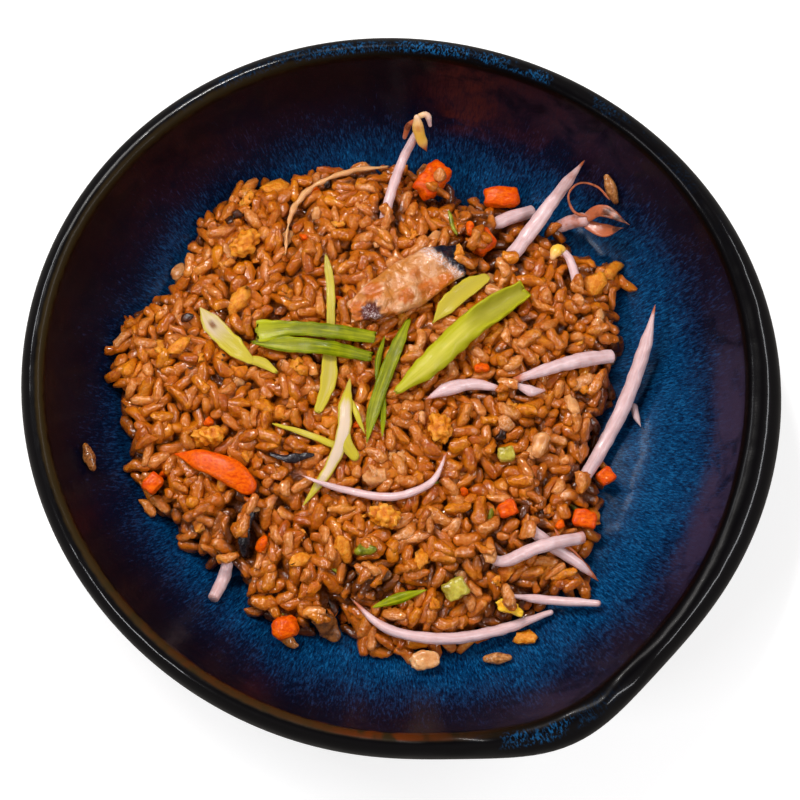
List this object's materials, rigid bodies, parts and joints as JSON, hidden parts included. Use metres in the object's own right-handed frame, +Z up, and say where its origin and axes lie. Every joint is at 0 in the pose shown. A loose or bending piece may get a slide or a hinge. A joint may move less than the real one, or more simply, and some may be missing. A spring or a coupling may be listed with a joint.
{
  "type": "fried rice plate",
  "caption": "Fried rice with bean sprouts, spring onion, carrot, egg and a flake of meat, in a shallow hand-shaped stoneware bowl with a dark blue glaze.",
  "frame": {"origin": "on the table under the middle of the bowl", "axes": "+Z up, +X along the longest width, -Y towards the eater"},
  "size_m": [0.205, 0.1973, 0.046],
  "materials": {
    "glaze": "glossy mottled blue glaze, near black on the wall and lip",
    "rice": "moist fried rice, tan to red-brown",
    "sprout": "crisp wet white stems with yellow seed leaves",
    "root": "dry tan root",
    "leaf_green": "fresh green leaf",
    "leaf_pale": "pale green to white leaf",
    "carrot": "cooked orange carrot",
    "egg": "scrambled egg, yellow to orange",
    "meat": "pale cooked meat with a browned corner",
    "fungus": "black fungus, wet",
    "mushroom": "brown mushroom",
    "onion": "softened translucent onion"
  },
  "bodies": {
    "root": {"bean_sprout_1": "sprout", "bean_sprout_10": "sprout", "bean_sprout_11": "sprout", "bean_sprout_12": "sprout", "bean_sprout_13": "sprout", "bean_sprout_14": "sprout", "bean_sprout_15": "sprout", "bean_sprout_2": "sprout", "bean_sprout_3": "sprout", "bean_sprout_4": "sprout", "bean_sprout_5": "sprout", "bean_sprout_6": "sprout", "bean_sprout_7": "sprout", "bean_sprout_8": "sprout", "bean_sprout_9": "sprout", "bowl": "glaze", "carrot_chunk_1": "carrot", "carrot_chunk_2": "carrot", "carrot_chunk_3": "carrot", "carrot_chunk_4": "carrot", "carrot_chunk_5": "carrot", "carrot_chunk_6": "carrot", "carrot_chunk_7": "carrot", "carrot_chunk_8": "carrot", "carrot_slice": "carrot", "egg_crumb_1": "egg", "egg_crumb_2": "egg", "egg_crumb_3": "egg", "egg_crumb_4": "egg", "egg_crumb_5": "egg", "fungus_strip_1": "fungus", "fungus_strip_2": "fungus", "loose_grain_1": "rice", "loose_grain_2": "rice", "loose_grain_3": "rice", "meat_flake": "meat", "mushroom_slice_1": "mushroom", "mushroom_slice_2": "mushroom", "onion_bit_1": "onion", "onion_bit_2": "onion", "onion_bit_3": "onion", "rice_heap": "rice", "spring_onion_frayed_green": "leaf_green", "spring_onion_green_fork": "leaf_green", "spring_onion_long_pale": "leaf_pale", "spring_onion_pale_leaf": "leaf_pale", "spring_onion_shoot": "leaf_green", "spring_onion_split_pale": "leaf_pale", "spring_onion_thin_green": "leaf_green", "spring_onion_white_split": "leaf_pale", "sprout_root": "root"}
  },
  "joints": []
}
